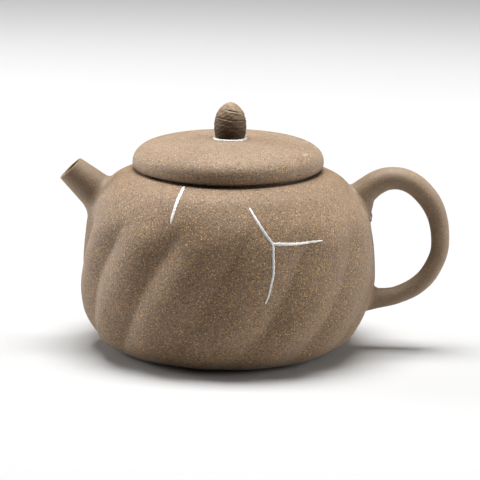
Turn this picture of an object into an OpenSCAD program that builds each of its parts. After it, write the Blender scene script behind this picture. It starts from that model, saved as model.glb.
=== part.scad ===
// A small clay teapot with a spiral-lobed body, a short spout, an ear-shaped
// handle, a domed lid with an egg-shaped knob, and silver lines let into the wall.
// Millimetres. The origin is the centre of the base's rest face, +Z is up the
// body's axis, +X points to the handle and -X to the spout.

/* [Body] */
// Radius of the body across its lobes
body_r = 42.8; // [40:0.1:45]
// Height of the shoulder's flat top round the neck ring
shoulder_top = 52.3; // [51.8:0.1:52.6]
// Thickness of the base disc
base_t = 3.2; // [2:0.1:4]
// Radius of the base disc, which is let into the foot of the wall
base_r = 24; // [20:0.5:26]
// Radius of the mouth
mouth_r = 20.3; // [19:0.1:21]

/* [Lobes] */
// Number of lobes round the body
lobe_count = 13; // [8:1:20]
// Depth of a furrow at mid-height
furrow_depth = 1.7; // [0.5:0.1:2.2]
// Roundness of the furrow's bottom: small is a sharp crease
furrow_round = 0.3; // [0.1:0.02:1]
// Direction of one furrow at mid-height, in degrees from the front towards +X
furrow_start = -4.5; // [-12:0.5:12]
// Unevenness of the lobes, wider in front and behind and narrower at the sides, in degrees
lobe_spread = 1; // [0:0.1:4]
// Lean of the furrows, in degrees round the body for each millimetre up
furrow_lean = 0.72; // [0:0.02:1.2]

/* [Spout] */
// Outside radius at the tip
spout_tip_r = 4.1; // [3.5:0.1:5]
// Radius of the bore at the tip
spout_bore_r = 2.95; // [2:0.05:3.2]
// Half-angle of the taper
spout_taper = 7.5; // [4:0.5:10]
// Lean of the spout from straight up, in degrees
spout_lean = 49; // [40:0.1:55]
// Number of holes in the ring round the middle one of the strainer
strainer_holes = 6; // [4:1:8]
// Radius of one strainer hole
strainer_hole_r = 0.95; // [0.5:0.05:1]

/* [Handle] */
// Width of the handle from side to side, at its top
handle_w = 7.2; // [5:0.1:9]

/* [Lid] */
// Radius of the lid at its rim
lid_r = 27.4; // [27:0.1:28.5]
// Height of the top of the dome
lid_top = 61.6; // [60:0.1:63]
// Height of the top of the knob
knob_top = 71.95; // [70:0.05:73]
// Gap between the resting faces of the lid and the neck ring
lid_gap = 0.1; // [0.05:0.05:0.3]
// Clearance between the lid's flange and the mouth
flange_gap = 0.6; // [0.3:0.1:1]

/* [Silver] */
// Height of the silver lines above the clay
silver_proud = 0.2; // [0.1:0.05:0.4]
// Depth of the silver lines in the clay
silver_sunk = 0.5; // [0.3:0.05:0.8]

/* [Hidden] */

$fn = 96;
clay = [0.55, 0.47, 0.38];
lid_clay = [0.63, 0.54, 0.44];
knob_clay = [0.36, 0.29, 0.22];
silver = [0.85, 0.85, 0.86];
eps = 0.01;

// Height where the furrowed wall ends and the shoulder slab begins
seam_z = 46;
// Outline over the lobes from the foot to the shoulder's edge: [radius, height]
OUTLINE = [[28.2, 0], [32.6, 1.2], [36.8, 4], [39.6, 8], [body_r - 1.3, 13],
           [body_r, 20], [body_r - 0.3, 28], [body_r - 1.1, 34], [40.9, 38],
           [39.2, 42], [36.7, seam_z], [33.5, 49.6], [28, shoulder_top]];
OUTLINE_SEAM = 10;
// Outline of the space inside, from the base disc to the mouth: [radius, height]
INSIDE = [[base_r, base_t], [29, 3.8], [33.2, 6.6], [36.2, 11], [38, 17],
          [38.5, 24], [38.1, 31], [36.9, 36], [34.8, 40.3], [32, 44],
          [30.3, seam_z], [25.5, 49], [mouth_r, 49.5]];
INSIDE_SEAM = 10;

// Sideways drift of the hand-thrown wall: [height, shift along X]
SWAY = [[0, -0.9], [5, -0.75], [10, -0.55], [17, 0], [24, 0.25], [34, 0.5], [42, 0.4],
        [seam_z, 0]];

// Heights of the rings of the furrowed wall
wall_rings = 22;
// Facets of one lobe
lobe_facets = 9;
// Heights between which the furrows fade out below the shoulder
fade_low = 33;
fade_high = 45.5;
// The furrows are shallow at the foot and have their full depth from this height up
foot_share = 0.25;
foot_fade = 12;

// The spout's axis runs from the tip's centre down into the body
spout_tip = [-45.75, 0, 51.95];
spout_turn = 180 - spout_lean;
spout_len = 24;
spout_rim = 0.4;
// The root's flare lies between these distances from the tip
flare_start = 8;
flare_end = 14.5;
flare_r = 8.3;
// The strainer's near face and thickness, and the radius of its ring of holes
strainer_at = 12.8;
strainer_t = 1.6;
strainer_ring_r = 2.9;

// The handle's path: [x, z, thickness in the plane of the loop, width along Y]
HANDLE = [[33.5, 40.5, 14, handle_w + 3.4], [35.9, 42.6, 12.4, handle_w + 2.4],
          [38.2, 44.6, 10, handle_w + 1.5], [40.3, 46.9, 8.1, handle_w + 0.8],
          [42.9, 49.1, 7.1, handle_w + 0.3], [46.2, 50.4, 6.6, handle_w],
          [50.2, 50.3, 6.4, handle_w - 0.1], [54.4, 48.3, 6.3, handle_w - 0.2],
          [58.5, 43.9, 6.15, handle_w - 0.4], [60.8, 38.9, 5.65, handle_w - 0.6],
          [61.7, 33.2, 5.3, handle_w - 0.8], [61.25, 28, 5.05, handle_w - 0.9],
          [58.5, 22.2, 5.15, handle_w - 1], [54.6, 18.4, 5.15, handle_w - 1.1],
          [50, 16.1, 5.05, handle_w - 1.1], [47, 15.3, 5.3, handle_w - 0.8],
          [43.9, 14.9, 5.9, handle_w - 0.1], [41, 14.6, 6.8, handle_w + 1],
          [37, 14.3, 8.6, handle_w + 2.2]];
handle_steps = 3;
handle_sides = 16;
// Depth to which the roots of the handle are luted into the wall
handle_sunk = 1.2;

// The neck ring stands in a rebate of the shoulder and meets the lid's seat at its top
neck_bottom = 51.3;
neck_top = 52.7;
neck_r = 24.8;
seat_bottom = neck_top + lid_gap;
seat_top = 54.6;
seat_corner_r = 26.6;
seat_inner_r = 17.2;
flange_r = mouth_r - flange_gap;
flange_bottom = 46.6;
dome_power_r = 3.3;
dome_power_z = 3.05;
dome_t = 3.2;
vent_r = 1.0;
vent_at = 7.6;
knob_ring_r = 4.9;
knob_ring_top = lid_top + 0.2;

// Silver lines: [degrees from the front towards +X, height, width]
SHORT_LINE = [[-26, 52, 0.5], [-25, 51.2, 0.85], [-24.4, 49.5, 0.85], [-24.2, 47.2, 0.8],
              [-24.2, 45, 0.75], [-24.1, 43.3, 0.25]];
TWIG_FORK = [18.3, 38.9, 0.8];
UPPER_TWIG = [TWIG_FORK, [15.8, 41.4, 0.85], [13.2, 44.4, 0.8], [10.3, 47.8, 0.25]];
RIGHT_TWIG = [TWIG_FORK, [22.2, 38.6, 0.85], [29.8, 38.1, 0.75], [36, 38.25, 0.65],
              [40.6, 38.4, 0.2]];
LOWER_TWIG = [TWIG_FORK, [18.1, 36.1, 0.75], [18.1, 31, 0.72], [17.2, 27.6, 0.7],
              [16.3, 24.8, 0.6], [15, 22, 0.2]];
line_steps = 4;

// Smooth curve through points of any dimension
function curve_at(a, b, c, d, t) =
    0.5 * (2 * b + (c - a) * t + (2 * a - 5 * b + 4 * c - d) * t ^ 2
           + (3 * b - a - 3 * c + d) * t ^ 3);
function curve(points, steps) =
    let (last = len(points) - 1,
         before = 2 * points[0] - points[1],
         after = 2 * points[last] - points[last - 1])
    [for (i = [0 : last - 1], k = [0 : steps - 1])
        curve_at(i == 0 ? before : points[i - 1], points[i], points[i + 1],
                 i == last - 1 ? after : points[i + 2], k / steps),
     points[last]];
function part_of(list, first, last) = [for (i = [first : last]) list[i]];
function swap(points) = [for (p = points) [p.y, p.x]];

outline_steps = 6;
outline_curve = curve(OUTLINE, outline_steps);
inside_curve = curve(INSIDE, outline_steps);
outline_table = swap(outline_curve);

// Smooth step from 0 at one height to 1 at another
function rise(z, low, high) =
    let (t = min(1, max(0, (z - low) / (high - low))))
    t * t * (3 - 2 * t);

// Radius of the furrowed surface at an angle and height
function depth_at(z) =
    furrow_depth * (1 - rise(z, fade_low, fade_high))
    * (foot_share + (1 - foot_share) * rise(z, 0, foot_fade));
function furrow(turns) =
    let (floor_level = furrow_round / sqrt(1 + furrow_round ^ 2),
         level = sqrt((sin(180 * turns) ^ 2 + furrow_round ^ 2) / (1 + furrow_round ^ 2)))
    (1 - level) / (1 - floor_level);
function lean(z) = furrow_lean * (z - 25) + 0.0004 * (z - 25) ^ 3;
function turns_at(angle, z) =
    let (a = angle - furrow_start - lean(z))
    (a - lobe_spread * sin(2 * a)) / 360 * lobe_count;
function lobe_radius(angle, z) =
    lookup(z, outline_table) - depth_at(z) * furrow(turns_at(angle, z))
    + lookup(z, SWAY) * sin(angle);
function around(angle, r, z) = [r * sin(angle), -r * cos(angle), z];
function on_body(angle, z, proud) = around(angle, lobe_radius(angle, z) + proud, z);

// Faces of a closed tube made of rings with the same number of points
function tube_faces(rings, sides) = concat(
    [[for (j = [0 : sides - 1]) j]],
    [for (i = [0 : rings - 2], j = [0 : sides - 1])
        let (k = (j + 1) % sides) [i * sides + j, (i + 1) * sides + j, (i + 1) * sides + k]],
    [for (i = [0 : rings - 2], j = [0 : sides - 1])
        let (k = (j + 1) % sides) [i * sides + j, (i + 1) * sides + k, i * sides + k]],
    [[for (j = [sides - 1 : -1 : 0]) (rings - 1) * sides + j]]);

// The furrowed outside as a solid; its rings lie closer together near the foot
module lobed_solid() {
    sides = lobe_count * lobe_facets;
    heights = [for (i = [0 : wall_rings]) seam_z * (i / wall_rings) ^ 1.25];
    points = [for (z = heights, j = [0 : sides - 1])
        let (a = j * 360 / sides)
        on_body(furrow_start + lean(z) + a + lobe_spread * sin(2 * a), z, 0)];
    polyhedron(points, tube_faces(wall_rings + 1, sides), convexity = 4);
}

// The smooth outside over the lobes as a solid, taken in by some depth
module outside_solid(depth) {
    rotate_extrude()
        polygon(concat([[0, -1], [OUTLINE[0].x - depth, -1]],
                       [for (p = outline_curve) [p.x - depth, p.y]],
                       [[0, shoulder_top]]));
}

// The space inside, from the base disc to above the mouth
module inside_solid() {
    rotate_extrude()
        polygon(concat([[0, base_t]], inside_curve,
                       [[mouth_r, shoulder_top + 2], [0, shoulder_top + 2]]));
}

// Puts a shape's +Z along the spout's axis, from the tip down into the body
module along_spout() {
    translate(spout_tip)
        rotate([0, spout_turn, 0])
            children();
}

function spout_r(distance) = spout_tip_r + distance * tan(spout_taper);
function bore_r(distance) = spout_bore_r + distance * tan(spout_taper);

// The spout's outer cone with a rounded rim
module spout_cone() {
    rotate_extrude()
        polygon(concat([[0, 0]],
                       [for (a = [0 : 15 : 90])
                           [spout_tip_r - spout_rim + spout_rim * sin(a), spout_rim * (1 - cos(a))]],
                       [[spout_r(spout_len), spout_len], [0, spout_len]]));
}

module spout_bore() {
    rotate_extrude()
        polygon([[0, -1], [spout_bore_r, -1], [spout_bore_r, 0],
                 [bore_r(spout_len), spout_len + eps],
                 [0, spout_len + eps]]);
}

// The root of the spout widens in an arc onto the wall
module spout_flare() {
    rotate_extrude()
        polygon(concat([[0, flare_start]],
                       [for (a = [0 : 10 : 90])
                           [spout_r(flare_start) + (flare_r - spout_r(flare_start)) * (1 - cos(a)),
                            flare_start + (flare_end - flare_start) * sin(a)]],
                       [[flare_r, flare_end + 2], [0, flare_end + 2]]));
}

module base_disc() {
    color(clay)
        cylinder(r = base_r, h = base_t);
}

module body_wall() {
    color(clay)
        difference() {
            lobed_solid();
            translate([0, 0, -1])
                cylinder(r = base_r, h = base_t + 1 + eps);
            inside_solid();
            along_spout()
                spout_cone();
        }
}

module shoulder_disc() {
    outer = part_of(outline_curve, OUTLINE_SEAM * outline_steps, len(outline_curve) - 1);
    inner = part_of(inside_curve, INSIDE_SEAM * outline_steps, len(inside_curve) - 1);
    color(clay)
        difference() {
            rotate_extrude()
                polygon(concat(outer, [[neck_r, shoulder_top], [neck_r, neck_bottom],
                                       [mouth_r, neck_bottom]],
                               [for (i = [len(inner) - 1 : -1 : 0]) inner[i]]));
            along_spout()
                spout_cone();
        }
}

module neck_ring() {
    bevel = 0.3;
    color(clay)
        rotate_extrude()
            polygon([[mouth_r, neck_bottom], [neck_r, neck_bottom], [neck_r, neck_top - bevel],
                     [neck_r - bevel, neck_top], [mouth_r + bevel, neck_top],
                     [mouth_r, neck_top - bevel]]);
}

module spout() {
    color(clay)
        difference() {
            union() {
                along_spout()
                    spout_cone();
                difference() {
                    along_spout()
                        spout_flare();
                    outside_solid(0);
                }
            }
            along_spout()
                spout_bore();
            inside_solid();
        }
}

// A pierced plug of clay across the inner end of the bore
module strainer() {
    color(clay)
        along_spout()
            translate([0, 0, strainer_at])
                difference() {
                    cylinder(r1 = bore_r(strainer_at), r2 = bore_r(strainer_at + strainer_t),
                             h = strainer_t);
                    for (i = [0 : strainer_holes])
                        rotate([0, 0, 360 * i / strainer_holes])
                            translate([i == strainer_holes ? 0 : strainer_ring_r, 0, -1])
                                cylinder(r = strainer_hole_r, h = strainer_t + 2, $fn = 24);
                }
}

// An oval swept along the handle's path, its ends trimmed to lie in the wall
module handle() {
    path = curve(HANDLE, handle_steps);
    last = len(path) - 1;
    rings = [for (i = [0 : last])
        let (run = path[min(i + 1, last)] - path[max(i - 1, 0)],
             along = [run.x, run.y] / norm([run.x, run.y]))
        for (j = [0 : handle_sides - 1])
            let (a = 360 * j / handle_sides, out = path[i][2] / 2 * cos(a))
            [path[i].x + along.y * out, path[i][3] / 2 * sin(a), path[i].y - along.x * out]];
    color(clay)
        difference() {
            polyhedron(rings, tube_faces(last + 1, handle_sides), convexity = 6);
            outside_solid(handle_sunk);
        }
}

// The dome's outside from the rim up to the middle
function dome_point(a, r, low, high) =
    [r * cos(a) ^ (2 / dome_power_r), low + (high - low) * sin(a) ^ (2 / dome_power_z)];

module lid_dome() {
    outer = [for (a = [0 : 6 : 90]) dome_point(a, lid_r, seat_top, lid_top)];
    inner = [for (a = [90 : -6 : 0])
        dome_point(a, lid_r - 2 * dome_t, seat_top, lid_top - dome_t)];
    color(lid_clay)
        difference() {
            rotate_extrude()
                polygon(concat(outer, inner));
            translate([0, vent_at, seat_top])
                cylinder(r = vent_r, h = lid_top, $fn = 24);
            translate([0, 0, knob_ring_top - 1])
                cylinder(r = knob_ring_r, h = 2);
        }
}

// The flat ring under the dome, with the rounded lower half of the rim
module lid_seat() {
    depth = seat_top - seat_bottom;
    color(lid_clay)
        rotate_extrude()
            polygon(concat([[seat_inner_r, seat_bottom]],
                           [for (a = [-90 : 10 : 0])
                               [seat_corner_r - 0.6 + (lid_r - seat_corner_r + 0.6) * cos(a),
                                seat_top + depth * sin(a)]],
                           [[seat_inner_r, seat_top]]));
}

module lid_flange() {
    flange_t = 2.4;
    bevel = 0.5;
    color(lid_clay)
        rotate_extrude()
            polygon([[flange_r - flange_t, flange_bottom + bevel],
                     [flange_r - flange_t + bevel, flange_bottom],
                     [flange_r - bevel, flange_bottom], [flange_r, flange_bottom + bevel],
                     [flange_r, seat_bottom], [flange_r - flange_t, seat_bottom]]);
}

// An egg-shaped knob with shallow grooves round it
module knob() {
    foot = knob_ring_top - 1;
    body = curve([[4.1, 61.7], [4.42, 62.8], [4.6, 64.3], [4.6, 65.8], [4.18, 68],
                  [3.5, 69.5], [2.3, 70.85], [1.2, 71.65], [0, knob_top]], 5);
    grooves = [63.5, 65.1, 66.9, 69.4];
    groove_half = 0.35;
    groove_depth = 0.25;
    profile = [for (p = body)
        let (near = min([for (g = grooves) abs(p.y - g)]))
        [max(0, p.x - (near < groove_half ? groove_depth * (1 - near / groove_half) : 0)), p.y]];
    color(knob_clay)
        rotate_extrude()
            polygon(concat([[0, foot], [4, foot]], profile));
}

module knob_ring() {
    color(silver)
        difference() {
            translate([0, 0, knob_ring_top - 1])
                cylinder(r1 = knob_ring_r, r2 = knob_ring_r - 0.25, h = 1);
            knob();
        }
}

// A tapering strip that follows the body's surface
module silver_line(points) {
    path = curve(points, line_steps);
    last = len(path) - 1;
    rings = [for (i = [0 : last])
        let (arc = lobe_radius(path[i].x, path[i].y) * PI / 180,
             run = path[min(i + 1, last)] - path[max(i - 1, 0)],
             along = [run.x * arc, run.y] / norm([run.x * arc, run.y]),
             half = path[i].z / 2)
        for (corner = [[-1, silver_proud], [1, silver_proud], [1, -silver_sunk], [-1, -silver_sunk]])
            on_body(path[i].x + corner.x * along.y * half / arc,
                    path[i].y - corner.x * along.x * half, corner.y)];
    color(silver)
        polyhedron(rings, tube_faces(last + 1, 4), convexity = 4);
}

module inlay_short() {
    silver_line(SHORT_LINE);
}

module inlay_twig_upper() {
    silver_line(UPPER_TWIG);
}

module inlay_twig_right() {
    silver_line(RIGHT_TWIG);
}

module inlay_twig_lower() {
    silver_line(LOWER_TWIG);
}

base_disc();
body_wall();
shoulder_disc();
neck_ring();
spout();
strainer();
handle();
lid_dome();
lid_seat();
lid_flange();
knob();
knob_ring();
inlay_short();
inlay_twig_upper();
inlay_twig_right();
inlay_twig_lower();
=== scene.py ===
import math

import bpy
import numpy as np
from mathutils import Euler, Matrix, Vector


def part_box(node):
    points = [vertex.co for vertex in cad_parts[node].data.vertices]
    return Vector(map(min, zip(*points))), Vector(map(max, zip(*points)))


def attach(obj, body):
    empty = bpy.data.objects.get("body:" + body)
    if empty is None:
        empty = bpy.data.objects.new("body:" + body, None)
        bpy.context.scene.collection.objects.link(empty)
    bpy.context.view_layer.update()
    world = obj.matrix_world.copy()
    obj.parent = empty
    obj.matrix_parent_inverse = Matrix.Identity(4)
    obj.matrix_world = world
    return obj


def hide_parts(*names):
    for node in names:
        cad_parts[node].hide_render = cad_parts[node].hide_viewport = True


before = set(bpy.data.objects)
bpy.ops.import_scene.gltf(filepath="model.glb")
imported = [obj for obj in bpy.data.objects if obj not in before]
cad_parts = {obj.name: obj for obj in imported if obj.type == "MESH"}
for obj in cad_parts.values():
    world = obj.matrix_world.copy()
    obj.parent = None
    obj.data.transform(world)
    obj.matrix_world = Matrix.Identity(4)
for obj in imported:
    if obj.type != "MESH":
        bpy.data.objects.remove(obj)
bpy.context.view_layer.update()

# ---------------------------------------------------------------- sizes, in millimetres
M = 0.001


def low(node):
    return np.array(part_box(node)[0]) / M


def high(node):
    return np.array(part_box(node)[1]) / M


BASE_R = high("base_disc")[0]
BASE_T = high("base_disc")[2]
SEAM_Z = high("body_wall")[2]
SHOULDER_TOP = high("shoulder_disc")[2]
NECK_R = high("neck_ring")[0]
NECK_TOP = high("neck_ring")[2]
NECK_BOTTOM = low("neck_ring")[2]
LID_R = high("lid_dome")[0]
LID_TOP = high("lid_dome")[2]
SEAT_BOTTOM = low("lid_seat")[2]
SEAT_TOP = high("lid_seat")[2]
FLANGE_R = high("lid_flange")[0]
FLANGE_BOTTOM = low("lid_flange")[2]
KNOB_TOP = high("knob")[2]
RING_R = high("knob_ring")[0]
RING_TOP = high("knob_ring")[2]
MOUTH_R = FLANGE_R + 0.6
# Largest radius over the lobes
BODY_R = 42.8

# Outline over the lobes, as radius and height, and the outline of the space inside
OUTLINE = [(28.2, 0), (32.6, 1.2), (36.8, 4), (39.6, 8), (BODY_R - 1.3, 13), (BODY_R, 20),
           (BODY_R - 0.3, 28), (BODY_R - 1.1, 34), (40.9, 38), (39.2, 42), (36.6, SEAM_Z),
           (33.3, 49.6), (28, SHOULDER_TOP)]
INSIDE = [(BASE_R, BASE_T), (29, 3.8), (33.2, 6.6), (36.2, 11), (38, 17), (38.5, 24),
          (38.1, 31), (36.9, 36), (34.8, 40.3), (32, 44), (30.3, SEAM_Z), (25.5, 49),
          (MOUTH_R, 49.5)]
# Sideways drift of the hand-thrown wall: height, shift along X
SWAY = [(0, -0.9), (5, -0.75), (10, -0.55), (17, 0), (24, 0.25), (34, 0.5), (42, 0.4), (SEAM_Z, 0),
        (SHOULDER_TOP, 0)]

LOBES = 13
# The furrows between the lobes: FURROW_ROUND is how round they are at the bottom, and
# FURROW_START the angle of one of them at the height LEAN_MIDDLE, in degrees
FURROW_DEPTH = 1.9
FURROW_ROUND = 0.13
FURROW_START = -4.5
# Degrees by which the furrows stray from even steps
LOBE_SPREAD = 1.0
# Degrees of lean per millimetre of height, its gain per cubic millimetre, and the height
# that both are measured from
LEAN, LEAN_GAIN, LEAN_MIDDLE = 0.72, 0.0004, 25
# The furrows fade out between these heights
FADE_LOW, FADE_HIGH = 33.0, 45.5
# Share of their depth at the very foot, and the height where they are at full depth
FOOT_SHARE, FOOT_FADE = 0.25, 12.0
# Beside the handle they are mostly smoothed away: angle, width in degrees, share
SMOOTHED_AT, SMOOTHED_WIDTH, SMOOTHED_SHARE = 81, 19, 0.8
# The top of the shoulder lies lower near the front: depth, angle, width in degrees
FRONT_DIP, FRONT_DIP_AT, FRONT_DIP_WIDTH = 0.5, -8, 40
# A crumb of clay under the handle's upper root: angle, height
CRUMB_AT = (88, 38.6)

SPOUT_TIP = np.array([-45.75, 0, 51.95])
SPOUT_TILT = math.radians(131)
SPOUT_DOWN = np.array([math.sin(SPOUT_TILT), 0, math.cos(SPOUT_TILT)])
SPOUT_TAPER = math.tan(math.radians(7.5))
SPOUT_TIP_R = 4.1
SPOUT_BORE_R = 2.95
SPOUT_LIP = 0.55
# Distance from the tip to the inner end of the bore
SPOUT_LENGTH = 15.6
# The tip's face leans this much from square to the spout's axis
SPOUT_FACE = math.tan(math.radians(4.5))

# The handle's path: x, z, thickness in the plane of the loop, width along Y
HANDLE_W = 7.2
HANDLE = [(33.5, 40.5, 14, HANDLE_W + 3.8), (35.9, 42.6, 12.4, HANDLE_W + 2.8),
          (38.2, 44.6, 10, HANDLE_W + 1.7), (40.3, 46.9, 8.1, HANDLE_W + 0.8),
          (42.9, 49.1, 7.1, HANDLE_W + 0.3), (46.2, 50.4, 6.6, HANDLE_W),
          (50.2, 50.3, 6.4, HANDLE_W - 0.1), (54.4, 48.3, 6.3, HANDLE_W - 0.2),
          (58.5, 43.9, 6.15, HANDLE_W - 0.4), (60.8, 38.9, 5.65, HANDLE_W - 0.6),
          (61.7, 33.2, 5.3, HANDLE_W - 0.8), (61.25, 28, 5.05, HANDLE_W - 0.9),
          (58.5, 22.2, 5.15, HANDLE_W - 1), (54.6, 18.4, 5.15, HANDLE_W - 1.1),
          (50, 16.1, 5.05, HANDLE_W - 1.1), (47, 15.3, 5.3, HANDLE_W - 0.8),
          (43.9, 14.9, 5.9, HANDLE_W - 0.1), (41, 14.6, 6.8, HANDLE_W + 1),
          (37, 14.3, 8.6, HANDLE_W + 2.2)]

# The lid's top is a little out of level, and lower by KNOB_DIP round the knob
LID_TILT = math.tan(math.radians(0.5))
KNOB_DIP, KNOB_DIP_R = 0.2, 10
# The lid's thickness, and the place of its air hole behind the knob
LID_WALL = 3.2
VENT_AT, VENT_R = 7.6, 1.0
# The knob stands a little off the middle, and its foot this far below its ring's top
KNOB_SHIFT = np.array([0.26, 0, 0])
KNOB_SINK = 1.0

# Silver lines: degrees from the front towards +X, height, width
SHORT_LINE = [(-26, 52, 0.5), (-25, 51.2, 0.85), (-24.4, 49.5, 0.85), (-24.2, 47.2, 0.8),
              (-24.2, 45, 0.75), (-24.1, 43.3, 0.25)]
FORK = (18.3, 38.9, 0.8)
UPPER_TWIG = [FORK, (15.8, 41.4, 0.85), (13.2, 44.4, 0.8), (10.1, 48.1, 0.55)]
RIGHT_TWIG = [FORK, (22.2, 38.75, 0.85), (29.8, 38.4, 0.75), (36, 38.35, 0.65),
              (41.1, 38.45, 0.35)]
LOWER_TWIG = [FORK, (18.1, 36.1, 0.75), (18.1, 31, 0.72), (17.2, 27.6, 0.7), (16.4, 24.8, 0.66),
              (15.0, 22.4, 0.5)]


# ---------------------------------------------------------------- curves and the body's surface
def smooth(points, steps):
    """Points along a smooth curve through the given ones."""
    p = np.array(points, float)
    p = np.vstack([2 * p[0] - p[1], p, 2 * p[-1] - p[-2]])
    t = np.arange(steps)[:, None] / steps
    runs = []
    for a, b, c, d in zip(p, p[1:], p[2:], p[3:]):
        runs.append(0.5 * (2 * b + (c - a) * t + (2 * a - 5 * b + 4 * c - d) * t ** 2
                           + (3 * b - a - 3 * c + d) * t ** 3))
    return np.vstack(runs + [p[-2:-1]])


def resample(points, count):
    """The same line with evenly spaced points."""
    points = np.asarray(points, float)
    step = np.linalg.norm(np.diff(points, axis=0), axis=1)
    along = np.concatenate([[0], np.cumsum(step)])
    at = np.linspace(0, along[-1], count)
    return np.stack([np.interp(at, along, points[:, k]) for k in range(points.shape[1])], 1)


OUTLINE_CURVE = smooth(OUTLINE, 12)
INSIDE_CURVE = smooth(INSIDE, 8)
SWAY_CURVE = smooth(SWAY, 8)


def unevenness(angle, z):
    """The slow waviness of a surface shaped by hand."""
    a = np.radians(angle)
    wave = (0.10 * np.sin(3 * a + 0.11 * z) + 0.07 * np.sin(5 * a - 0.17 * z + 1.3)
            + 0.05 * np.sin(8 * a + 0.31 * z + 2.1)) * np.clip((SHOULDER_TOP - z) / 10, 0, 1)
    crumb = 0.8 * np.exp(-((angle - CRUMB_AT[0]) / 0.9) ** 2 - ((z - CRUMB_AT[1]) / 0.6) ** 2)
    fuller_left = 0.17 * np.clip(-np.sin(a), 0, 1) ** 2
    return wave + crumb + fuller_left


def rise(z, start, end):
    """Goes smoothly from 0 at the start to 1 at the end."""
    t = np.clip((z - start) / (end - start), 0, 1)
    return t * t * (3 - 2 * t)


def front_dip(angle, z):
    """How much lower the shoulder's top lies near the front."""
    off = (angle - FRONT_DIP_AT + 180) % 360 - 180
    top = rise(z, SHOULDER_TOP - 3, SHOULDER_TOP)
    return FRONT_DIP * np.exp(-(off / FRONT_DIP_WIDTH) ** 2) * top


def furrow(turns):
    """1 in the bottom of a furrow and 0 on the middle of a lobe."""
    floor_level = FURROW_ROUND / math.sqrt(1 + FURROW_ROUND ** 2)
    level = np.sqrt((np.sin(np.pi * turns) ** 2 + FURROW_ROUND ** 2) / (1 + FURROW_ROUND ** 2))
    return (1 - level) / (1 - floor_level)


def lean(z):
    """Degrees by which the furrows have turned at a height."""
    return LEAN * (z - LEAN_MIDDLE) + LEAN_GAIN * (z - LEAN_MIDDLE) ** 3


def lobe_radius(angle, z):
    """Radius of the outside at an angle from the front towards +X, in degrees, and a height."""
    depth = (FURROW_DEPTH * (1 - rise(z, FADE_LOW, FADE_HIGH))
             * (FOOT_SHARE + (1 - FOOT_SHARE) * rise(z, 0, FOOT_FADE))
             * (1 - SMOOTHED_SHARE * np.exp(-((angle - SMOOTHED_AT) / SMOOTHED_WIDTH) ** 2)))
    a = angle - FURROW_START - lean(z)
    turns = (a - LOBE_SPREAD * np.sin(np.radians(2 * a))) / 360 * LOBES
    crest = np.interp(z, OUTLINE_CURVE[:, 1], OUTLINE_CURVE[:, 0])
    sway = np.interp(z, SWAY_CURVE[:, 0], SWAY_CURVE[:, 1]) * np.sin(np.radians(angle))
    return crest - depth * furrow(turns) + sway + unevenness(angle, z)


def around(angle, r, z):
    """The point at an angle from the front towards +X, a radius and a height."""
    a = np.radians(angle)
    return np.stack(np.broadcast_arrays(r * np.sin(a), -r * np.cos(a), z), -1)


def angle_of(p):
    return np.degrees(np.arctan2(p[..., 0], -p[..., 1]))


def outside_by(p):
    """How far a point lies outside the body, along the radius."""
    return np.hypot(p[..., 0], p[..., 1]) - lobe_radius(angle_of(p), p[..., 2])


def onto_body(p):
    """The point of the body's surface at the same angle and height."""
    angle = angle_of(p)
    return around(angle, lobe_radius(angle, p[..., 2]), p[..., 2])


def body_normal(p):
    """The direction that points straight out of the body's surface."""
    shifts = np.eye(3) * 0.05
    g = np.stack([outside_by(p + s) - outside_by(p - s) for s in shifts], -1)
    return g / np.linalg.norm(g, axis=-1, keepdims=True)


# ---------------------------------------------------------------- meshes
def mesh_object(name, points, faces):
    mesh = bpy.data.meshes.new(name)
    mesh.from_pydata((np.asarray(points) * M).tolist(), [], faces)
    mesh.polygons.foreach_set("use_smooth", [True] * len(mesh.polygons))
    mesh.update()
    obj = bpy.data.objects.new(name, mesh)
    bpy.context.scene.collection.objects.link(obj)
    return obj


def grid_object(name, rows, wrap=False, first_pole=None, last_pole=None):
    """A skin over rows of points, each a closed ring. The rows wrap round or end in poles."""
    rows = np.asarray(rows)
    n, k = rows.shape[:2]
    points = rows.reshape(-1, 3)
    faces = []
    for i in range(n if wrap else n - 1):
        a, b = i * k, (i + 1) % n * k
        for j in range(k):
            j2 = (j + 1) % k
            faces.append((a + j, a + j2, b + j2, b + j))
    for pole, row, flip in ((first_pole, 0, True), (last_pole, n - 1, False)):
        if pole is not None:
            points = np.vstack([points, pole])
            tip = len(points) - 1
            for j in range(k):
                pair = (row * k + j, row * k + (j + 1) % k)
                faces.append((tip,) + (pair[::-1] if flip else pair))
    return mesh_object(name, points, faces)


def turn(sides):
    """Evenly spaced angles of a full turn, in degrees."""
    return np.arange(sides) * 360 / sides


def ring(angles, r, z):
    """A level row of points round the axis."""
    return around(angles, r, np.full(len(angles), z))


def lathe(name, outline, sides=192, wobble=0.02):
    """A nearly true solid of revolution from a closed outline of (radius, height)."""
    angles = turn(sides)
    a = np.radians(angles)
    rows = []
    for r, z in outline:
        w = wobble * (np.sin(2 * a + 0.2 * z) + 0.6 * np.sin(5 * a + 1 + 0.3 * z))
        rows.append(ring(angles, r + w * min(1, r / 10), z))
    return grid_object(name, rows, wrap=True)


def finish_piece(obj, body, slot, material, *nodes):
    """Gives a piece its material and body, and hides the CAD nodes it stands in for. The slot is
    not used.
    """
    obj.data.materials.clear()
    obj.data.materials.append(material)
    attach(obj, body)
    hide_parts(*nodes)


def cut(obj, cutter):
    """Takes the cutter's shape out of the object."""
    tool = obj.modifiers.new("cut", "BOOLEAN")
    tool.operation = "DIFFERENCE"
    tool.solver = "EXACT"
    tool.object = cutter
    bpy.context.view_layer.update()
    shaped = obj.evaluated_get(bpy.context.evaluated_depsgraph_get())
    mesh = bpy.data.meshes.new_from_object(shaped)
    obj.modifiers.clear()
    old = obj.data
    obj.data = mesh
    bpy.data.meshes.remove(old)
    bpy.data.objects.remove(cutter)


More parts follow.
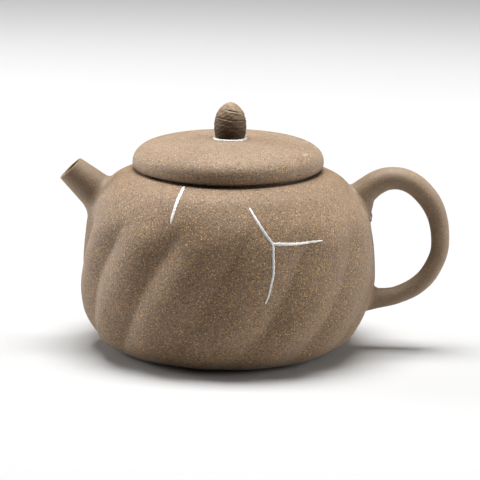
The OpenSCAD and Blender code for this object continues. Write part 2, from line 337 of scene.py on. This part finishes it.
def rod(start, end, r0, r1, sides=48):
    """A closed round rod between two points, for cutting."""
    start, end = np.array(start, float), np.array(end, float)
    along = (end - start) / np.linalg.norm(end - start)
    side = np.cross(along, [0, 1, 0]) if abs(along[1]) < 0.9 else np.array([1.0, 0, 0])
    side /= np.linalg.norm(side)
    up = np.cross(along, side)
    a = np.arange(sides)[:, None] * 2 * math.pi / sides
    circle = np.cos(a) * side + np.sin(a) * up
    return grid_object("rod", [start + circle * r0, end + circle * r1],
                       first_pole=start, last_pole=end)


# ---------------------------------------------------------------- the pieces' shapes
def make_body():
    """The furrowed wall and the shoulder, with the space inside."""
    u = turn(LOBES * 40)
    spread = u + LOBE_SPREAD * np.sin(np.radians(2 * u))

    def turned(z):
        return FURROW_START + lean(z) + spread

    rows = [ring(turned(0), BASE_R, 0), ring(turned(0), BASE_R + 1, 0)]
    for z in resample(OUTLINE_CURVE, 150)[:, 1]:
        rows.append(ring(turned(z), lobe_radius(turned(z), z), z))
    for r, z in [(26.5, SHOULDER_TOP), (NECK_R + 0.2, SHOULDER_TOP - 0.05),
                 (NECK_R, SHOULDER_TOP - 0.25), (NECK_R, NECK_BOTTOM),
                 (MOUTH_R + 0.1, NECK_BOTTOM), (MOUTH_R, NECK_BOTTOM - 0.1)]:
        rows.append(ring(turned(SHOULDER_TOP), r, z))
    for row in rows[2:]:
        row[:, 2] -= front_dip(angle_of(row), row[:, 2])
    for r, z in resample(INSIDE_CURVE, 60)[::-1]:
        rows.append(ring(turned(z), r, z))
    body = grid_object("pot_wall", rows, wrap=True)
    hole, start, end = SPOUT_BORE_R + 0.6, 8, 22
    cut(body, rod(SPOUT_TIP + SPOUT_DOWN * start, SPOUT_TIP + SPOUT_DOWN * end,
                  hole + start * SPOUT_TAPER, hole + end * SPOUT_TAPER))
    return body


def hermite(p0, t0, p1, t1, count):
    """Points on the curves from p0, leaving along t0, to p1, arriving along t1."""
    u = np.linspace(0, 1, count)[:, None, None]
    return ((2 * u ** 3 - 3 * u ** 2 + 1) * p0 + (u ** 3 - 2 * u ** 2 + u) * t0
            + (-2 * u ** 3 + 3 * u ** 2) * p1 + (u ** 3 - u ** 2) * t1)


def root_blend(lines, back, wide, count):
    """Ends a tube on the body. lines[j] runs along the tube's side j into the body.
    The blend starts back[j] before the body and reaches wide[j] out over it.
    Returns, for each side, the index where the tube stops, and rows of points that
    turn from the tube's side into the body's surface."""
    starts, ways, ends, outs, stops = [], [], [], [], []
    for j, line in enumerate(lines):
        gap = outside_by(line)
        hit = int(np.argmax(gap < 0))
        f = gap[hit - 1] / (gap[hit - 1] - gap[hit])
        q = line[hit - 1] + f * (line[hit] - line[hit - 1])
        step = np.linalg.norm(np.diff(line, axis=0), axis=1)
        length = np.concatenate([[0], np.cumsum(step)])
        at_q = length[hit - 1] + f * step[hit - 1]
        at_s = at_q - back[j]
        stop = int(np.searchsorted(length, at_s))
        s = np.array([np.interp(at_s, length, line[:, k]) for k in range(3)])
        way = line[stop] - line[stop - 1]
        way /= np.linalg.norm(way)
        centre = lines[:, min(hit, lines.shape[1] - 1)].mean(0)
        out = q - centre
        n = body_normal(q)
        out -= out @ n * n
        out /= np.linalg.norm(out)
        e = onto_body(q + out * wide[j])
        n = body_normal(e)
        out -= out @ n * n
        out /= np.linalg.norm(out)
        for kept, value in zip((starts, ways, ends, outs, stops), (s, way, e, out, stop)):
            kept.append(value)
    starts, ways, ends, outs = map(np.array, (starts, ways, ends, outs))
    reach = np.linalg.norm(ends - starts, axis=1, keepdims=True)
    return np.array(stops), hermite(starts, ways * reach, ends, outs * reach, count)


def sunk(row, depth=0.5):
    """A row of points on the body, taken into the clay."""
    return row - body_normal(row) * depth


def row_along(lines, at):
    """A row with one point of each line, at its own place along it."""
    steps = np.arange(lines.shape[1])
    return np.array([[np.interp(at[j], steps, line[:, c]) for c in range(3)]
                     for j, line in enumerate(lines)])


def make_spout():
    """A tapered tube whose root spreads over the wall, with its bore and rounded lip."""
    sides = 96
    a = np.arange(sides) * 2 * math.pi / sides
    up = np.cross(SPOUT_DOWN, [0, 1, 0])
    circle = np.cos(a)[:, None] * up + np.sin(a)[:, None] * np.array([0, 1, 0])

    def at(distance, r):
        lean_back = SPOUT_FACE * math.cos(math.pi / 2 * min(1, distance / 8)) ** 2
        middle = SPOUT_TIP + SPOUT_DOWN * distance
        return middle + circle * r + SPOUT_DOWN * (np.cos(a) * r * lean_back)[:, None]

    lines = np.stack([at(t, SPOUT_TIP_R + t * SPOUT_TAPER) for t in np.arange(0, 24, 0.1)], 1)
    under = (1 - np.cos(a)) / 2
    stops, fillet = root_blend(lines, 1.6 + 1.8 * under, 1.3 + 1.0 * under, 14)
    rows = []
    for t in np.linspace(SPOUT_LENGTH, 0.35, 26):
        flare = (SPOUT_TIP_R - SPOUT_LIP - SPOUT_BORE_R) * (1 - rise(t, 0, 2.6))
        rows.append(at(t, SPOUT_BORE_R + t * SPOUT_TAPER + flare))
    half = SPOUT_LIP / 2
    for b in np.radians(np.linspace(10, 170, 9)):
        rows.append(at(0.25 - 0.25 * math.sin(b), SPOUT_TIP_R - half - half * math.cos(b)))
    first, count = 5, 14
    for k in range(count):
        rows.append(row_along(lines, first + (stops - first) * k / count))
    rows.extend(fillet)
    rows.append(sunk(fillet[-1]))
    rows.append(at(SPOUT_LENGTH, SPOUT_BORE_R + SPOUT_LENGTH * SPOUT_TAPER + 1.2))
    return grid_object("spout_tube", np.array(rows)[::-1], wrap=True)


def make_handle():
    """A loop swept along its path, whose two roots spread over the wall."""
    sides = 64
    path = smooth(HANDLE, 16)
    run = np.gradient(path[:, :2], axis=0)
    run /= np.linalg.norm(run, axis=1, keepdims=True)
    a = np.arange(sides) * 2 * math.pi / sides
    out, wide = np.cos(a), np.sin(a)
    sweep = np.empty((len(path), sides, 3))
    sweep[..., 0] = path[:, :1] + run[:, 1:] * out * path[:, 2:3] / 2
    sweep[..., 1] = wide * path[:, 3:4] / 2
    sweep[..., 2] = path[:, 1:2] - run[:, :1] * out * path[:, 2:3] / 2
    middle = len(path) // 2
    upper = sweep[:middle + 1][::-1].transpose(1, 0, 2)
    lower = sweep[middle:].transpose(1, 0, 2)
    inward = (1 + out) / 2
    up_stop, up_fillet = root_blend(upper, 0.8 + 1.7 * inward ** 2 + 0.5 * np.abs(wide),
                                    0.7 + 2.1 * inward ** 2 + 0.9 * np.abs(wide), 20)
    low_stop, low_fillet = root_blend(lower, 1.0 + 0.8 * inward, 0.8 + 0.6 * inward, 14)
    count = 90
    upper_rows = [row_along(upper, up_stop * k / count) for k in range(count)]
    lower_rows = [row_along(lower, low_stop * k / count) for k in range(count)]
    first, last = sunk(up_fillet[-1]), sunk(low_fillet[-1])
    rows = np.array([first, *up_fillet[::-1], *upper_rows[::-1], *lower_rows[1:], *low_fillet,
                     last])
    # The inside of the loop is pressed in under the upper root, and swells a little below
    z = rows[..., 2]
    pinch = 0.55 * np.exp(-((z - 39.4) / 0.8) ** 2) - 0.8 * np.exp(-((z - 43.9) / 2.1) ** 2)
    pinch *= np.clip(out, 0, 1) * (1 - rise(rows[..., 0], 44, 48))
    rows[1:, :, 0] += pinch[1:]
    inside = np.array([1.5, 0, 0.8])
    return grid_object("handle_loop", rows, first_pole=first.mean(0) - inside,
                       last_pole=last.mean(0) - inside)


def dome(r, base, top, count):
    """A flattened dome's outline, from its edge up to the middle."""
    power_r, power_z = 3.3, 3.05
    return [(max(1e-4, r * math.cos(t) ** (2 / power_r)),
             base + (top - base) * math.sin(t) ** (2 / power_z))
            for t in np.linspace(0, math.pi / 2, count)]


def make_lid():
    """The domed lid and its seat, with the space under the dome and the air hole."""
    depth = SEAT_TOP - SEAT_BOTTOM
    corner = 26.0
    rim = [(corner + (LID_R - corner) * math.cos(t), SEAT_TOP + depth * math.sin(t))
           for t in np.linspace(-math.pi / 2, 0, 14)[:-1]]
    outer = dome(LID_R, SEAT_TOP, LID_TOP, 60)
    inner = dome(LID_R - 2 * LID_WALL, SEAT_TOP, LID_TOP - LID_WALL, 24)[::-1]
    seat = [(17.8, SEAT_TOP), (17.3, SEAT_TOP - 0.5), (17.2, SEAT_BOTTOM + 0.3),
            (17.5, SEAT_BOTTOM)]
    angles = turn(224)
    a = np.radians(angles)
    left, right = np.clip(-np.sin(a), 0, 1), np.clip(np.sin(a), 0, 1)
    front = np.clip(np.cos(a + 0.35), 0, 1)
    rows = [ring(angles, r, z) for r, z in inner[1:] + seat]
    for r, z in rim + outer[:-1]:
        upper = rise(z, SEAT_TOP, SEAT_TOP + 4)
        w = 0.06 * (np.sin(2 * a + 0.5) + 0.7 * np.sin(5 * a + 1) + 0.4 * np.sin(9 * a)) * r / LID_R
        # The rim is fuller at the left, the dome leaner at the right, its front edge rounder
        w = w + 0.45 * (1 - upper) * left ** 4 * (r > corner)
        w = w - 0.3 * upper * right ** 2 * r / LID_R
        w = w - 0.4 * np.exp(-((z - SEAT_TOP - 4.5) / 2.2) ** 2) * front ** 2
        tilt = LID_TILT * r * np.sin(a) * rise(r, 5, 12)
        dip = KNOB_DIP * math.exp(-(r / KNOB_DIP_R) ** 2)
        rows.append(around(angles, r + w, z + tilt - dip))
    lid = grid_object("lid_top", rows, first_pole=np.array([0, 0, LID_TOP - LID_WALL]),
                      last_pole=np.array([0, 0, LID_TOP - KNOB_DIP]))
    vent = (0, VENT_AT, low("lid_dome")[2]), (0, VENT_AT, LID_TOP + 2)
    cut(lid, rod(*vent, VENT_R, VENT_R, 32))
    return lid


def make_lid_flange():
    """The ring under the lid that drops into the mouth."""
    inner, outer = FLANGE_R - 2.4, FLANGE_R
    outline = [(inner, FLANGE_BOTTOM + 0.9), (inner + 0.3, FLANGE_BOTTOM + 0.35),
               (inner + 0.9, FLANGE_BOTTOM), (outer - 0.9, FLANGE_BOTTOM),
               (outer - 0.3, FLANGE_BOTTOM + 0.3), (outer, FLANGE_BOTTOM + 0.9),
               (outer, SEAT_BOTTOM - 0.6), (outer + 0.3, SEAT_BOTTOM - 0.12),
               (outer + 0.5, SEAT_BOTTOM), (inner - 0.2, SEAT_BOTTOM), (inner, SEAT_BOTTOM - 0.4)]
    return lathe("flange_ring", outline[::-1])


def make_neck():
    """The ring round the mouth, with both its upper edges rounded."""
    b = 0.35
    outline = [(MOUTH_R, NECK_BOTTOM), (NECK_R - 0.03, NECK_BOTTOM)]
    outline += [(NECK_R - b + b * math.cos(t), NECK_TOP - b + b * math.sin(t))
                for t in np.linspace(0, math.pi / 2, 5)]
    outline += [(MOUTH_R + b - b * math.cos(t), NECK_TOP - b + b * math.sin(t))
                for t in np.linspace(math.pi / 2, 0, 5)]
    return lathe("neck_band", outline[::-1])


def make_base():
    """The flat disc that closes the bottom, with a rounded lower edge."""
    b = 0.3
    edge = [(BASE_R - b + b * math.sin(t), b - b * math.cos(t))
            for t in np.linspace(0, math.pi / 2, 5)]
    outline = [(r, 0.0) for r in (4, 10, 16, 21)] + edge + [(BASE_R, BASE_T)]
    outline += [(r, BASE_T) for r in (20, 12, 5)]
    rows = [ring(turn(192), r, z) for r, z in outline]
    return grid_object("base_plate", rows, first_pole=np.array([0, 0, 0.0]),
                       last_pole=np.array([0, 0, BASE_T]))


def make_knob():
    """An egg shape cut round by wavy grooves, like wound strips of clay."""
    angles = turn(160)
    a = np.radians(angles)
    foot = RING_TOP - KNOB_SINK
    outline = smooth([(4.1, RING_TOP - 0.1), (4.42, 62.8), (4.6, 64.3), (4.6, 65.8), (4.18, 68),
                      (3.5, 69.5), (2.3, 70.85), (1.2, 71.65), (0.05, KNOB_TOP)], 22)
    # Grooves: height at the front, fall towards +X, depth, half-width, and whether it is short
    grooves = [(62.75, 0.05, 0.14, 0.14, False), (64.2, 0.12, -0.10, 0.12, False),
               (64.85, 0.1, 0.10, 0.14, False), (65.9, 0.3, 0.08, 0.2, False),
               (67.4, 0.5, 0.34, 0.17, False), (69.85, 0.65, 0.38, 0.16, True)]
    rows = [ring(angles, 4.0, foot)]
    for r, z in outline:
        dent = np.zeros(len(angles))
        for height, fall, depth, half, short in grooves:
            d = z - (height - fall * np.sin(a) + 0.06 * np.sin(4 * a + height))
            strength = depth * (0.8 + 0.2 * np.sin(3 * a + height))
            if short:
                strength = strength * np.clip(np.cos(a - 0.1), 0, 1) ** 2
            # Each groove has a low ridge of pushed-up clay below it
            dent += strength * np.exp(-(d / half) ** 2)
            dent -= 0.4 * strength * np.exp(-((d + 2.4 * half) / (1.3 * half)) ** 2)
        rough = 0.04 * np.sin(7 * a + 3 * z) + 0.03 * np.sin(13 * a - 5 * z)
        taper = min(1, r / 1.5)
        rows.append(ring(angles, np.maximum(0.02, r - (dent + rough) * taper), z))
    return grid_object("knob_egg", np.array(rows) + KNOB_SHIFT,
                       first_pole=np.array([0, 0, foot]) + KNOB_SHIFT,
                       last_pole=np.array([0, 0, KNOB_TOP]) + KNOB_SHIFT)


def make_knob_ring():
    """The slightly wavy silver ring round the knob's foot."""
    angles = turn(128)
    a = np.radians(angles)
    inner, outer = 3.9, RING_R + 0.08
    base, top = RING_TOP - 0.75, RING_TOP + 0.02
    w = 0.05 * np.sin(4 * a + 1) + 0.03 * np.sin(9 * a)
    rows = []
    for r, z in [(inner, base), (outer - 0.1, base), (outer, base + 0.3),
                 (outer - 0.08, top - 0.25), (outer - 0.3, top - 0.04), (outer - 0.6, top),
                 (inner, top - 0.05)]:
        rows.append(around(angles, r + (w if r > inner else 0), z + 0.4 * w))
    return grid_object("knob_band", np.array(rows) + KNOB_SHIFT, wrap=True)


def make_line(name, points, seed):
    """A strip of silver with a rounded back that follows the body's surface."""
    path = resample(smooth(points, 12), 12 * len(points))
    n = len(path)
    run = np.gradient(path[:, :2], axis=0)
    arc = lobe_radius(path[:, 0], path[:, 1]) * math.pi / 180
    run = np.stack([run[:, 0] * arc, run[:, 1]], 1)
    run /= np.linalg.norm(run, axis=1, keepdims=True)
    k = np.arange(n)
    ripple = 1 + 0.12 * np.sin(k * 0.9 + seed) + 0.08 * np.sin(k * 2.3 + 2 * seed)
    half = path[:, 2] / 2 * ripple
    proud, sink = 0.16, 0.4
    section = [(math.cos(t), proud * math.sin(t)) for t in np.linspace(math.pi, 0, 9)]
    section += [(1.0, -sink), (-1.0, -sink)]
    rows = []
    for i in range(n):
        row = []
        for side, height in section:
            angle = path[i, 0] + side * run[i, 1] * half[i] / arc[i]
            z = path[i, 1] - side * run[i, 0] * half[i]
            lift = height * (min(1, half[i] / 0.25) if height > 0 else 1)
            row.append(around(angle, lobe_radius(angle, z) + lift, z))
        rows.append(row)
    rows = np.array(rows)
    return grid_object(name, rows, first_pole=rows[0].mean(0), last_pole=rows[-1].mean(0))


# ---------------------------------------------------------------- materials
DARK_GRAIN, OCHRE_GRAIN, PALE_GRAIN = (0.05, 0.03, 0.018), (0.62, 0.37, 0.14), (0.72, 0.52, 0.27)
PIT, RUB = (0.05, 0.03, 0.02), (0.72, 0.62, 0.5)
KNOB_LOW, KNOB_MIDDLE, KNOB_HIGH = (0.066, 0.038, 0.017), (0.18, 0.124, 0.08), (0.37, 0.275, 0.19)
KNOB_STREAK, KNOB_GRAIN = (0.04, 0.023, 0.012), (0.38, 0.24, 0.11)
# The last silver colour is painted shade, for the silver lower on the wall
SILVER_BRIGHT, SILVER_DULL, SILVER_SHADE_GREY = (0.87, 0.87, 0.87), (0.68, 0.67, 0.66), (0.5, 0.49, 0.48)


class Graph:
    """Short calls for building a material's nodes."""

    def __init__(self, name):
        self.material = bpy.data.materials.new(name)
        self.material.use_nodes = True
        self.tree = self.material.node_tree
        self.shader = self.tree.nodes["Principled BSDF"]

    def node(self, kind, **values):
        node = self.tree.nodes.new(kind)
        for key, value in values.items():
            setattr(node, key, value)
        return node

    def put(self, socket, value):
        if isinstance(value, bpy.types.NodeSocket):
            self.tree.links.new(value, socket)
        else:
            socket.default_value = value

    def position(self, stretch=(1, 1, 1)):
        """Object coordinates in millimetres."""
        coords = self.node("ShaderNodeTexCoord").outputs["Object"]
        scaled = self.node("ShaderNodeMapping")
        self.put(scaled.inputs["Vector"], coords)
        scaled.inputs["Scale"].default_value = [s / M for s in stretch]
        return scaled.outputs["Vector"]

    def noise(self, at, scale, detail=4, rough=0.5):
        node = self.node("ShaderNodeTexNoise")
        self.put(node.inputs["Vector"], at)
        node.inputs["Scale"].default_value = scale
        node.inputs["Detail"].default_value = detail
        node.inputs["Roughness"].default_value = rough
        return node.outputs["Fac"]

    def math(self, operation, a, b):
        node = self.node("ShaderNodeMath", operation=operation)
        self.put(node.inputs[0], a)
        self.put(node.inputs[1], b)
        return node.outputs[0]

    def times(self, a, b):
        return self.math("MULTIPLY", a, b)

    def height(self, at):
        split = self.node("ShaderNodeSeparateXYZ")
        self.put(split.inputs["Vector"], at)
        return split.outputs["Z"]

    def between(self, value, start, end, low=0.0, high=1.0):
        """Goes smoothly from low to high while the value goes from start to end."""
        node = self.node("ShaderNodeMapRange", interpolation_type="SMOOTHSTEP")
        self.put(node.inputs["Value"], value)
        for key, number in (("From Min", start), ("From Max", end),
                            ("To Min", low), ("To Max", high)):
            node.inputs[key].default_value = number
        return node.outputs["Result"]

    def grains(self, at, scale, size, share):
        """Round grains: scale is their number per millimetre, size their part of a cell,
        and share the part of the cells that have one."""
        cell = self.node("ShaderNodeTexVoronoi")
        self.put(cell.inputs["Vector"], at)
        cell.inputs["Scale"].default_value = scale
        dot = self.between(cell.outputs["Distance"], size * 0.55, size, 1.0, 0.0)
        pick = self.node("ShaderNodeSeparateColor")
        self.put(pick.inputs["Color"], cell.outputs["Color"])
        kept = self.math("LESS_THAN", pick.outputs["Red"], share)
        return self.times(dot, kept)

    def mix(self, share, a, b):
        """The colour a, with this share of the colour b."""
        node = self.node("ShaderNodeMix", data_type="RGBA")
        self.put(node.inputs["Factor"], share)
        sockets = [s for s in node.inputs if s.type == "RGBA"]
        for socket, value in zip(sockets, (a, b)):
            self.put(socket, value if isinstance(value, bpy.types.NodeSocket) else (*value, 1.0))
        return [s for s in node.outputs if s.type == "RGBA"][0]

    def bump(self, height, strength, distance):
        node = self.node("ShaderNodeBump")
        node.inputs["Strength"].default_value = strength
        node.inputs["Distance"].default_value = distance * M
        self.put(node.inputs["Height"], height)
        return node.outputs["Normal"]


def clay(name, dark, light, sand=1.0, worn=False):
    """Unglazed sandy clay: slow patches of colour, ochre, dark and pale grains, a fine tooth.
    Worn clay also has pits, and pale rubs towards +X."""
    g = Graph(name)
    at = g.position()
    patches = g.between(g.noise(at, 0.07, 2, 0.5), 0.3, 0.7)
    colour = g.mix(patches, dark, light)
    mottle = g.between(g.noise(at, 1.9, 4, 0.7), 0.4, 0.6)
    mottled = [c * s for c, s in zip(dark, (0.54, 0.48, 0.42))]
    colour = g.mix(g.times(mottle, 0.55 * sand), colour, mottled)
    split = g.node("ShaderNodeSeparateXYZ")
    g.put(split.inputs["Vector"], at)
    clusters = g.between(g.noise(at, 0.45, 3, 0.6), 0.36, 0.62, 0.35, 1.0)
    smoother_top = g.between(split.outputs["Z"], 40, 50, 1.0, 1.0 if worn else 0.5)
    clusters = g.times(clusters, smoother_top)
    ochre_grains = g.times(g.grains(at, 2.4, 0.5, 0.5), clusters)
    dark_grains = g.grains(at, 1.7, 0.42, 0.4)
    pale_grains = g.grains(at, 1.25, 0.3, 0.3)
    colour = g.mix(g.times(dark_grains, 0.7 * sand), colour, DARK_GRAIN)
    colour = g.mix(g.times(ochre_grains, 0.85 * sand), colour, OCHRE_GRAIN)
    colour = g.mix(g.times(pale_grains, 0.6 * sand), colour, PALE_GRAIN)
    if worn:
        pits = g.grains(at, 0.17, 0.08, 0.8)
        colour = g.mix(g.times(pits, 0.75), colour, PIT)
        rubs = g.between(g.noise(g.position((0.5, 0.12, 1)), 1.0, 3, 0.6), 0.6, 0.72)
        edge = g.between(split.outputs["X"], 15, 24)
        colour = g.mix(g.times(g.times(rubs, edge), 0.4), colour, RUB)
    g.put(g.shader.inputs["Base Color"], colour)
    rough = g.between(g.noise(at, 0.8, 4, 0.6), 0.3, 0.7, 0.55, 0.75)
    g.put(g.shader.inputs["Roughness"], rough)
    g.shader.inputs["Specular IOR Level"].default_value = 0.62
    g.shader.inputs["Sheen Weight"].default_value = 0.14
    tooth = g.noise(at, 2.2, 5, 0.75)
    lifted = g.math("ADD", tooth, g.times(ochre_grains, 0.35))
    lifted = g.math("SUBTRACT", lifted, g.times(dark_grains, 0.3))
    if worn:
        lifted = g.math("SUBTRACT", lifted, pits)
    g.put(g.shader.inputs["Normal"], g.bump(lifted, 0.6 * sand, 0.24))
    return g.material


def knob_clay():
    """Dark clay that is lighter towards the top."""
    g = Graph("dark_clay")
    at = g.position()
    wander = g.times(g.math("SUBTRACT", g.noise(at, 0.7, 4, 0.6), 0.5), 3.5)
    height = g.math("ADD", g.height(at), wander)
    colour = g.mix(g.between(height, RING_TOP + 0.5, RING_TOP + 6), KNOB_LOW, KNOB_MIDDLE)
    colour = g.mix(g.between(height, RING_TOP + 5, KNOB_TOP + 0.5), colour, KNOB_HIGH)
    streaks = g.between(g.noise(g.position((0.35, 0.35, 2.2)), 0.9, 5, 0.65), 0.4, 0.7)
    colour = g.mix(g.times(streaks, 0.4), colour, KNOB_STREAK)
    grains = g.grains(at, 2.0, 0.36, 0.35)
    colour = g.mix(g.times(grains, 0.35), colour, KNOB_GRAIN)
    g.put(g.shader.inputs["Base Color"], colour)
    g.put(g.shader.inputs["Roughness"], g.between(g.noise(at, 1.2, 4, 0.6), 0.3, 0.7, 0.5, 0.72))
    g.shader.inputs["Specular IOR Level"].default_value = 0.4
    fine = g.noise(g.position((0.6, 0.6, 2.4)), 1.4, 5, 0.65)
    g.put(g.shader.inputs["Normal"], g.bump(fine, 0.5, 0.18))
    return g.material


def silver():
    """Bright silver laid by hand, with small dull spots, and painted shade that turns it grey lower
    on the wall.
    """
    g = Graph("silver")
    at = g.position()
    dull = g.between(g.noise(at, 1.6, 4, 0.6), 0.4, 0.7)
    # Painted shade: the silver is mixed towards grey lower on the wall
    painted_shade_low = g.between(g.height(at), 41, 47, 0.45, 0.0)
    colour = g.mix(dull, SILVER_BRIGHT, SILVER_DULL)
    g.put(g.shader.inputs["Base Color"], g.mix(painted_shade_low, colour, SILVER_SHADE_GREY))
    g.shader.inputs["Metallic"].default_value = 0.4
    g.put(g.shader.inputs["Roughness"], g.between(g.noise(at, 2.5, 4, 0.6), 0.3, 0.7, 0.3, 0.55))
    g.put(g.shader.inputs["Normal"], g.bump(g.noise(at, 2.2, 4, 0.6), 0.4, 0.12))
    return g.material


def floor_white():
    """Pale and matt, and paler away from the pot, where less light falls."""
    g = Graph("floor_white")
    near, far = 130, 650
    away = g.node("ShaderNodeVectorMath", operation="LENGTH")
    g.put(away.inputs[0], g.position())
    pale = g.between(away.outputs["Value"], near, far, 0.52, 0.84)
    g.put(g.shader.inputs["Base Color"], pale)
    g.shader.inputs["Roughness"].default_value = 0.9
    return g.material


CLAY = clay("sandy_clay", (0.252, 0.170, 0.104), (0.308, 0.214, 0.138))
LID_CLAY = clay("sandy_clay_lid", (0.274, 0.196, 0.131), (0.324, 0.234, 0.16), sand=0.85,
                worn=True)
RUBBED_CLAY = clay("sandy_clay_rubbed", (0.25, 0.18, 0.12), (0.3, 0.218, 0.148), sand=0.4)
KNOB_CLAY = knob_clay()
SILVER = silver()

# ---------------------------------------------------------------- the pieces
finish_piece(make_body(), "pot", "clay", CLAY, "body_wall", "shoulder_disc")
finish_piece(make_base(), "pot", "clay", CLAY, "base_disc")
finish_piece(make_neck(), "pot", "clay", CLAY, "neck_ring")
finish_piece(make_spout(), "pot", "clay", RUBBED_CLAY, "spout")
finish_piece(make_handle(), "pot", "clay", RUBBED_CLAY, "handle")
# The strainer stays the CAD solid, with a clay material on it
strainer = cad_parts["strainer"]
strainer.data.materials.clear()
strainer.data.materials.append(RUBBED_CLAY)
finish_piece(make_lid(), "lid", "lid_clay", LID_CLAY, "lid_dome", "lid_seat")
finish_piece(make_lid_flange(), "lid_lifter", "lid_clay", LID_CLAY, "lid_flange")
finish_piece(make_knob(), "lid", "knob_clay", KNOB_CLAY, "knob")
finish_piece(make_knob_ring(), "lid", "silver", SILVER, "knob_ring")
for number, (name, points) in enumerate((("short", SHORT_LINE), ("twig_upper", UPPER_TWIG),
                                         ("twig_right", RIGHT_TWIG), ("twig_lower", LOWER_TWIG))):
    line = make_line("silver_" + name, points, number)
    finish_piece(line, "pot", "silver", SILVER, "inlay_" + name)


# ---------------------------------------------------------------- floor, light and camera
def make_floor():
    size = 3.0
    corners = [(-size, -size, 0), (size, -size, 0), (size, size, 0), (-size, size, 0)]
    mesh = bpy.data.meshes.new("floor")
    mesh.from_pydata(corners, [], [(0, 1, 2, 3)])
    floor = bpy.data.objects.new("floor", mesh)
    bpy.context.scene.collection.objects.link(floor)
    mesh.materials.append(floor_white())


def area_light(name, at, towards, size, power):
    """A white rectangle of light. Places are in metres and the power in watts."""
    data = bpy.data.lights.new(name, "AREA")
    data.shape = "RECTANGLE"
    data.size, data.size_y = size
    data.energy = power
    lamp = bpy.data.objects.new(name, data)
    bpy.context.scene.collection.objects.link(lamp)
    lamp.location = at
    way = np.array(towards) - np.array(at)
    lamp.rotation_euler = Vector(way).to_track_quat("-Z", "Y").to_euler()


def make_lights():
    area_light("top_light", (0, 0.05, 0.8), (0, 0.02, 0.03), (0.6, 0.35), 9.7)
    area_light("left_light", (-0.8, 0.22, 0.26), (0, 0, 0.03), (0.4, 0.5), 4.2)
    area_light("right_light", (0.8, -0.05, 0.2), (0, 0, 0.03), (0.7, 0.6), 4.0)
    world = bpy.data.worlds.new("world")
    world.use_nodes = True
    background = world.node_tree.nodes["Background"]
    background.inputs["Color"].default_value = (1.0, 1.0, 1.0, 1)
    background.inputs["Strength"].default_value = 0.05
    bpy.context.scene.world = world


def make_camera():
    """The camera looks slightly down at the middle of the pot from far away."""
    pitch, roll = math.radians(12.4), math.radians(1)
    distance = 0.8
    target = np.array([0.00364, 0, 0.03148])
    data = bpy.data.cameras.new("camera")
    data.lens = 206.7
    data.sensor_width = 36
    data.clip_start = 0.05
    camera = bpy.data.objects.new("camera", data)
    bpy.context.scene.collection.objects.link(camera)
    camera.location = target + distance * np.array([0, -math.cos(pitch), math.sin(pitch)])
    camera.rotation_mode = "XYZ"
    turned = Euler((math.pi / 2 - pitch, 0, 0)).to_matrix() @ Matrix.Rotation(roll, 3, "Z")
    camera.rotation_euler = turned.to_euler()
    bpy.context.scene.camera = camera


make_floor()
make_lights()
make_camera()
bpy.context.scene.view_settings.view_transform = "Standard"
bpy.context.scene.view_settings.look = "Medium High Contrast"
